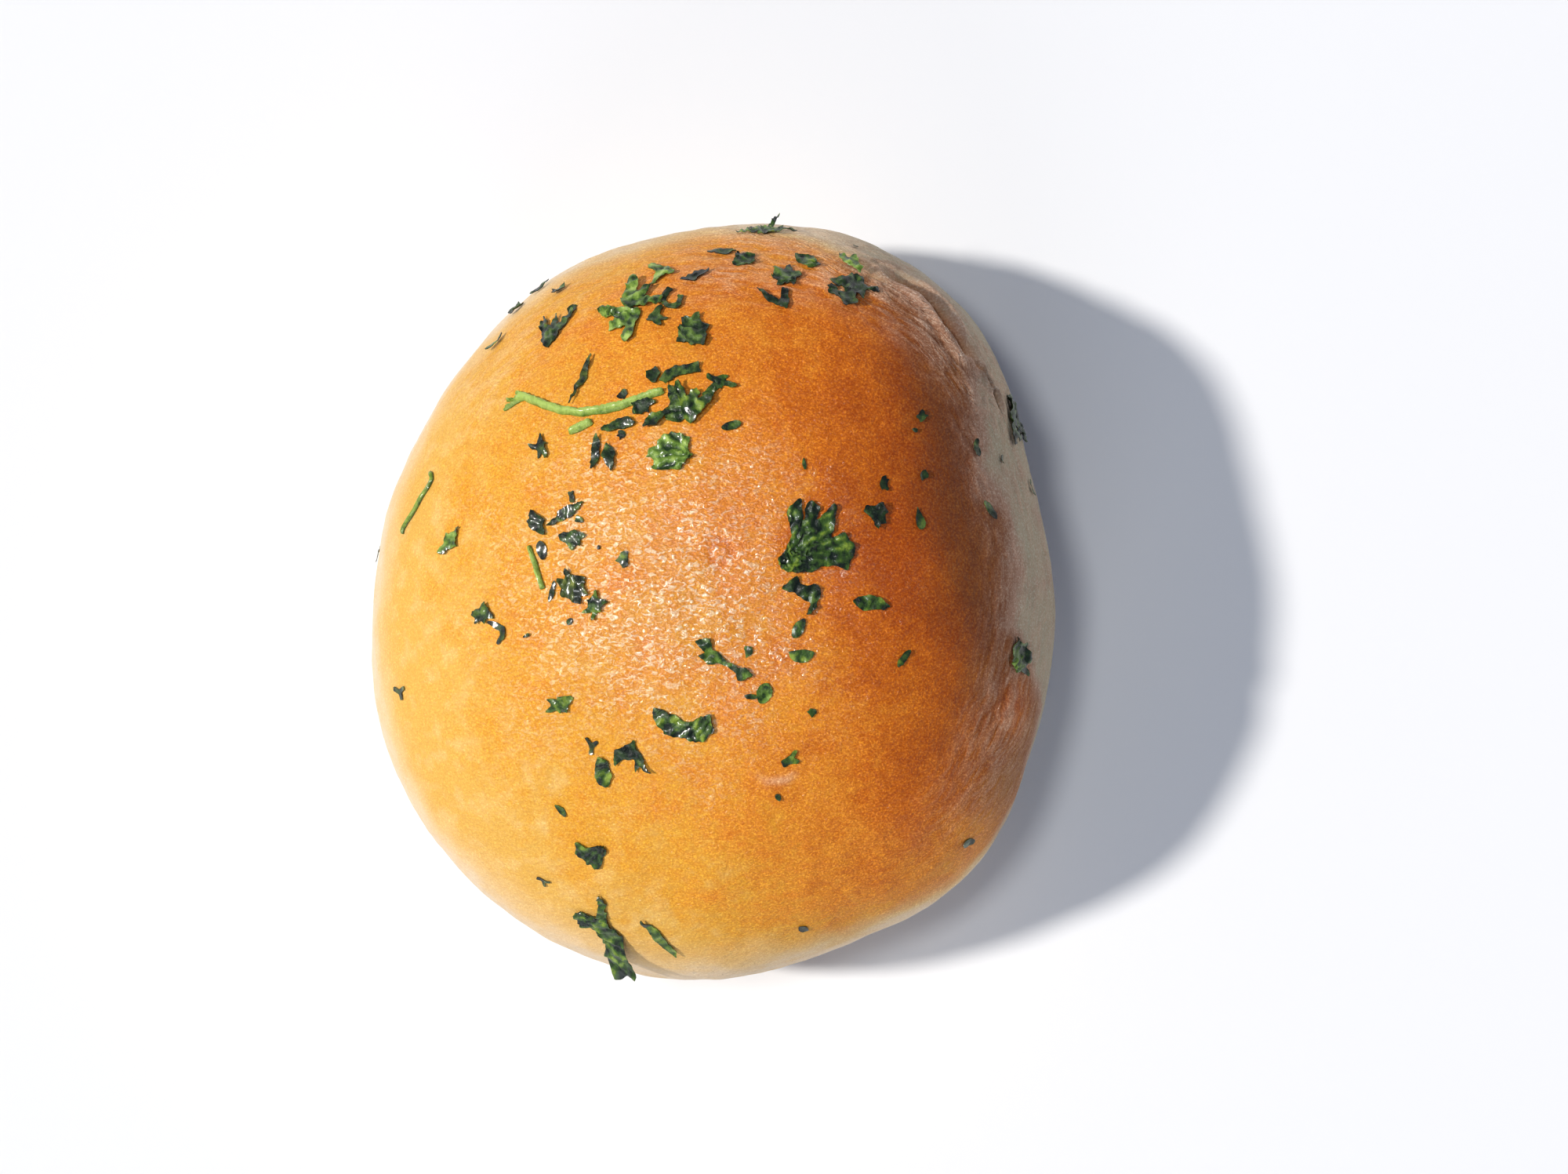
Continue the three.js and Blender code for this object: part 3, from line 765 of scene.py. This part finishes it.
def leaf_relief(flat, inset, deep, size, crumple, bend_way):
    """How far each point of a flake rises, and its pleats and veins, which fan out from the stalk."""
    ahead = np.array([math.cos(bend_way), math.sin(bend_way)])
    from_stalk = flat + 1.15 * size * ahead
    fan = np.arctan2(from_stalk[:, 1], from_stalk[:, 0]) - bend_way
    fan = (fan + math.pi) % (2 * math.pi) - math.pi
    pleat_spacing = 1.7
    phase = fan * 2 * size * 2 * math.pi / pleat_spacing + 3.5 * clouds(deep, 1.6, 2, 6.0)
    broad = smoothstep(0.4, 1.1, inset.max())  # a narrow flake has no pleats
    pleat = np.cos(phase) * broad
    vein = (1 - np.abs(np.sin(phase / 2)) ** 0.6) * (0.3 + 0.7 * broad)
    rise = crumple * (0.5 + 0.9 * clouds(deep, 1.3, 2)) + 0.4 * crumple * clouds(deep, 0.5, 1, 9.0)
    rise = rise + 0.9 * crumple * (flat @ ahead / size) ** 2 + 0.4 * crumple * pleat
    return np.clip(rise, 0, None), pleat, vein


def make_flake(
    name,
    direction,
    plane,
    outline,
    slot,
    rng,
    replaced=None,
    base=0.12,
    thick=0.10,
    round_up=0.0,
    rough=0.10,
    crumple=0.30,
    spacing=0.24,
    raise_at=None,
    stalk_side=None,
):
    """One flake of leaf or stem: its outline filled with triangles, crumpled, and laid on the crust."""
    seed = rng.uniform(0, 50)
    size = np.abs(outline).max()
    rim = refine(outline, 0.7 * spacing, rough, seed)
    flat, triangles, outer = fill_outline(rim, size, spacing, rng)
    inset = distance_to_rim(flat, rim)
    deep = np.column_stack([flat, np.full(len(flat), seed)])
    if stalk_side is None:
        bend_way = rng.uniform(0, 2 * math.pi)
    else:
        bend_way = math.radians(stalk_side + 180)
    rise, pleat, vein = leaf_relief(flat, inset, deep, size, crumple, bend_way)
    if raise_at is not None:
        rise = rise + raise_at(flat)
    body = thick + round_up * np.sqrt(1 - (1 - np.clip(inset / 0.45, 0, 1)) ** 2)

    centre, right, ahead = plane
    on_plane = centre + flat[:, :1] * right + flat[:, 1:] * ahead
    toward = unit(on_plane - core)
    ground = np.array([crust_hit(crust_tree, t) for t in toward])
    lower = core + toward * (ground + base + rise)[:, None]
    upper = core + toward * (ground + base + rise + body)[:, None]
    count = len(flat)
    points = np.concatenate([upper, lower])
    faces = triangles + [(c + count, b + count, a + count) for a, b, c in triangles]
    faces += [(a, a + count, b + count, b) for a, b in outer]
    piece = make_piece(name, points, faces, leaf_materials[slot], replaced, smooth_angle=50)

    # Each flake's tone differs at random, and its pleats are painted lighter on their crests and darker
    # in their folds, as light and shade.
    tone_and_shade = rng.uniform(0.22, 0.48) + 0.65 * clouds(deep, 1.2, 2, 4.0) + 0.13 * pleat
    if round_up:
        # A stem is painted lighter along its middle and darker at its edges, as light and shade on a
        # round stem.
        tone_and_shade = 0.65 + 0.2 * clouds(deep, 1.2, 2, 4.0) + 0.30 * np.clip(inset / 0.25, 0, 1)
        vein = np.zeros(count)
    tone_and_shade = np.clip(tone_and_shade, 0, 1)
    # The lower face is painted darker, as shade.
    store(piece, "tone_and_shade", np.concatenate([tone_and_shade, tone_and_shade * 0.7]))
    store(piece, "vein", np.concatenate([vein, vein]))


rng = np.random.default_rng(12)
slots = {part["node"]: part["material_slot"] for part in frame["record"]["subparts"]}
# Stems, with how far each rounds up, and the side of the largest leaf where its stalk was.
stems = {"parsley_stem_1": 0.55, "parsley_stem_3": 0.5, "parsley_left_9": 0.35, "parsley_left_1": 0.25}
stalk_sides = {"parsley_centre_1": 215}
# A flake that hangs over the rim curls in: its outline's scale and shift.
drawn_in = {"parsley_lower_6": (0.90, (0.0, 1.3))}
stacked_gap = 0.85  # a flake further off the crust than this in CAD lies on another
stacked_rise = 0.42
for node in sorted(frame["nodes"]):
    if node == "bun":
        continue
    upper, lower = rim_of(*cad_mesh(node))
    direction = unit(upper.mean(axis=0) - core)
    plane = plane_at(direction)
    outline = to_plane(upper, direction, plane)
    shrink, shift = drawn_in.get(node, (1.0, (0, 0)))
    outline = outline * shrink + shift
    gaps = np.array([np.linalg.norm(p - core) - crust_hit(cad_tree, unit(p - core)) for p in lower])
    size = np.linalg.norm(outline, axis=1).max()
    flat_rise = size**2 / (2 * 2 * half_width)  # how far a flat flake's rim stands off a round bun
    stacked = gaps.min() > stacked_gap + flat_rise
    curl = np.clip(gaps - gaps.min() - 0.15, 0, None)

    def raised(flat, outline=outline, curl=curl):
        away = np.linalg.norm(flat[:, None] - outline[None], axis=2) + 0.3
        weights = away**-3
        return (weights * curl).sum(axis=1) / weights.sum(axis=1)

    stem = stems.get(node, 0.0)
    make_flake(
        node + "_leaf",
        direction,
        plane,
        outline,
        slots[node],
        rng,
        replaced=node,
        base=0.10 + (stacked_rise if stacked else 0.0),
        round_up=stem,
        rough=0.03 if stem else 0.10,
        crumple=0.05 if stem else 0.30,
        raise_at=raised if curl.max() > 0.4 else None,
        stalk_side=stalk_sides.get(node),
    )


# Flakes too small for the CAD: kind, place across and along from the bun's middle, length, width,
# heading in degrees, and green.
small_flakes = [
    ("torn", -15.6, 32.9, 1.3, 1.0, 60, "green"),
    ("torn", -9.6, 22.9, 1.4, 1.1, 0, "dark"),
    ("leaf", 2.4, 19.3, 2.2, 1.0, 8, "green"),
    ("torn", -9.6, 18.4, 1.3, 0.9, 80, "dark"),
    ("torn", 13.6, 34.9, 1.6, 1.2, 80, "dark"),
    ("leaf", 16.3, 40.6, 0.9, 0.4, 0, "dark"),
    ("torn", 23.3, 20.5, 1.5, 1.3, 30, "dark"),
    ("leaf", 22.5, 18.9, 0.7, 0.5, -40, "dark"),
    ("torn", 29.6, 17.2, 2.2, 1.0, 80, "dark"),
    ("hook", -39.2, 5.6, 1.8, 0.5, 90, "olive"),
    ("torn", -15.1, 11.7, 1.5, 1.3, 100, "olive"),
    ("torn", -14.2, 9.1, 1.2, 0.9, -30, "dark"),
    ("leaf", -18.3, 5.8, 2.2, 1.1, 100, "dark"),
    ("torn", -17.1, 1.2, 2.5, 0.8, 80, "dark"),
    ("leaf", -15.2, -2.0, 0.9, 0.6, 60, "dark"),
    ("hook", -23.2, -3.0, 2.6, 0.8, 110, "dark"),
    ("leaf", -19.9, -3.5, 0.8, 0.5, 30, "dark"),
    ("torn", -9.3, 4.7, 2.0, 1.8, 30, "green"),
    ("leaf", -12.0, 6.1, 0.5, 0.4, 60, "dark"),
    ("sliver", 10.3, 15.1, 1.2, 0.4, 95, "dark"),
    ("leaf", 9.7, -2.7, 2.5, 1.2, 62, "green"),
    ("half", 10.0, -5.3, 2.8, 1.4, 0, "green"),
    ("torn", 4.2, -5.1, 1.7, 1.1, 70, "light"),
    ("torn", 19.1, 13.0, 2.0, 1.3, 80, "dark"),
    ("torn", 23.5, 14.0, 1.5, 1.0, 20, "dark"),
    ("drop", 23.0, 9.3, 2.5, 1.6, 100, "dark"),
    ("sliver", 31.1, 10.4, 2.8, 0.9, -55, "dark"),
    ("leaf", 32.6, 16.1, 1.1, 0.5, 80, "olive"),
    ("hook", 36.5, 13.1, 1.9, 0.5, -80, "olive"),
    ("leaf", 21.2, -6.0, 2.4, 0.9, 55, "green"),
    ("leaf", 29.0, -27.2, 1.9, 1.1, 25, "green"),
    ("fork", -35.3, -10.0, 2.3, 0.5, -20, "olive"),
    ("fork", -12.9, -15.6, 1.9, 0.5, 80, "olive"),
    ("leaf", -16.5, -22.8, 1.9, 0.7, -60, "green"),
    ("fork", -18.9, -31.2, 1.6, 0.4, -50, "olive"),
    ("leaf", 6.0, -9.7, 2.4, 1.8, 70, "light"),
    ("leaf", 4.6, -10.1, 1.6, 0.6, 170, "dark"),
    ("torn", 11.2, -11.9, 1.2, 1.1, 0, "green"),
    ("fork", 8.9, -17.0, 2.2, 0.9, 35, "green"),
    ("leaf", 7.5, -21.1, 1.0, 0.7, 120, "dark"),
    ("leaf", 10.3, -36.8, 1.5, 0.9, -20, "dark"),
]


def curved_strip(corners, wide):
    """The outline of a strip along a bent line, narrower at its ends."""
    line = np.array(corners, float)
    ahead = unit(np.gradient(line, axis=0))
    share = np.linspace(0, 1, len(line))
    half = wide / 2 * (0.45 + 0.55 * np.sin(math.pi * share))
    sideways = np.stack([-ahead[:, 1], ahead[:, 0]], axis=1) * half[:, None]
    return np.concatenate([line + sideways, (line - sideways)[::-1]])


def small_outline(kind, long, wide, rng):
    turns = np.linspace(0, 2 * math.pi, 12, endpoint=False)
    if kind in ("leaf", "sliver"):
        across = np.abs(np.sin(turns)) ** 1.3 * np.sign(np.sin(turns))
        return np.stack([np.cos(turns) * long / 2, across * wide / 2], axis=1)
    if kind == "half":
        across = np.where(np.sin(turns) > 0, 0.25, 1.0) * np.sin(turns)
        return np.stack([np.cos(turns) * long / 2, across * wide * 0.8], axis=1)
    if kind == "drop":
        across = np.sin(turns) * (0.55 - 0.45 * np.cos(turns))
        return np.stack([np.cos(turns) * long / 2, across * wide / 2], axis=1)
    if kind == "hook":
        bend = [(-0.5, 0.25), (-0.3, -0.1), (0.0, -0.2), (0.25, 0.0), (0.5, 0.3)]
        return curved_strip(np.array(bend) * long, wide)
    if kind == "fork":
        stalk = wide / long / 2
        fork = [(-0.5, -stalk), (-0.1, -stalk), (0.2, -0.4), (0.35, -0.3), (0.15, 0.0)]
        fork += [(0.5, 0.25), (0.4, 0.4), (-0.05, stalk), (-0.5, stalk)]
        return np.array(fork) * long
    reach = rng.uniform(0.55, 1.1, len(turns))
    return np.stack([np.cos(turns) * long / 2, np.sin(turns) * wide / 2], axis=1) * reach[:, None]


for number, (kind, across, along, long, wide, heading, green) in enumerate(small_flakes):
    direction = unit(drop_onto(crust_tree, across, along) - core)
    plane = plane_at(direction)
    outline = small_outline(kind, long, wide, rng)
    turn = math.radians(heading)
    spin = np.array([[math.cos(turn), math.sin(turn)], [-math.sin(turn), math.cos(turn)]])
    make_flake(
        f"parsley_small_{number + 1}",
        direction,
        plane,
        outline @ spin,
        "parsley_" + green,
        rng,
        base=0.05,
        thick=0.07,
        rough=0.07 if kind == "torn" else 0.04,
        crumple=0.14,
        spacing=0.22,
    )


# ---- The floor, the light and the camera ----

# The floor is a wide disc whose edge curves up into a low backdrop. Here lengths are in metres.
floor_reach = 3.0
floor_curve = 0.8
floor_columns = 64
curve_steps = 8
profile = [(floor_reach, 0.0)]
for step in range(1, curve_steps + 1):
    turn = math.pi / 2 * step / curve_steps
    outer_reach = floor_reach + floor_curve * math.sin(turn)
    profile.append((outer_reach, floor_curve * (1 - math.cos(turn))))
floor_points = [(0.0, 0.0, 0.0)]
for radius, level in profile:
    for column in range(floor_columns):
        turn = 2 * math.pi * column / floor_columns
        floor_points.append((radius * math.cos(turn), radius * math.sin(turn), level))
floor_faces = [(0, 1 + k, 1 + (k + 1) % floor_columns) for k in range(floor_columns)]
for ring in range(len(profile) - 1):
    here = 1 + ring * floor_columns
    there = here + floor_columns
    for k in range(floor_columns):
        following = (k + 1) % floor_columns
        floor_faces.append((here + k, there + k, there + following, here + following))
floor_mesh = bpy.data.meshes.new("floor")
floor_mesh.from_pydata(floor_points, [], floor_faces)
floor_mesh.shade_smooth()
floor_material, tree = new_material("floor_white")
surface = add(
    tree,
    "ShaderNodeBsdfPrincipled",
    Base_Color=(0.89, 0.89, 0.89, 1),
    Roughness=0.9,
    Specular_IOR_Level=0.0,
)
add(tree, "ShaderNodeOutputMaterial", Surface=surface.outputs[0])
floor_mesh.materials.append(floor_material)
floor = bpy.data.objects.new("floor", floor_mesh)
bpy.context.scene.collection.objects.link(floor)

world = bpy.data.worlds.new("pale_room")
world.use_nodes = True
background = world.node_tree.nodes["Background"]
background.inputs["Color"].default_value = (0.090, 0.118, 0.190, 1)
background.inputs["Strength"].default_value = 1.0
bpy.context.scene.world = world

# The key light comes from the left and a little from the back.
key = bpy.data.lights.new("key", "SUN")
key.energy = 3.0
key.color = (1.0, 0.965, 0.92)
key.angle = math.radians(5)
key_elevation = math.radians(47.5)
key_turn = math.radians(4)
toward_key = Vector(
    (
        -math.cos(key_elevation) * math.cos(key_turn),
        math.cos(key_elevation) * math.sin(key_turn),
        math.sin(key_elevation),
    )
)
key_object = bpy.data.objects.new("key", key)
key_object.rotation_mode = "QUATERNION"
key_object.rotation_quaternion = toward_key.to_track_quat("Z", "Y")
key_object.location = toward_key
bpy.context.scene.collection.objects.link(key_object)


def soft_light(name, place, size, energy, colour):
    """A round lamp at a place in metres, turned to the origin."""
    light = bpy.data.lights.new(name, "AREA")
    light.energy = energy
    light.color = colour
    light.shape = "DISK"
    light.size = size
    lamp = bpy.data.objects.new(name, light)
    lamp.location = place
    lamp.rotation_mode = "QUATERNION"
    lamp.rotation_quaternion = lamp.location.to_track_quat("Z", "Y")
    bpy.context.scene.collection.objects.link(lamp)


soft_light("overhead", (-0.17, 0.09, 0.95), 0.14, 2.1, (0.94, 0.97, 1.0))
soft_light("front", (-0.15, -0.80, 0.50), 0.50, 1.3, (0.93, 0.96, 1.0))

# The camera looks straight down from over the bun. Its place is given from the bun's middle.
camera_place = [8.18, 1.79, 430.0]
camera_data = bpy.data.cameras.new("camera")
camera_data.sensor_width = 36
camera_data.lens = 80.3
camera = bpy.data.objects.new("camera", camera_data)
camera.location = Vector(middle + camera_place) * MM
bpy.context.scene.collection.objects.link(camera)
bpy.context.scene.camera = camera
bpy.context.scene.view_settings.view_transform = "Standard"
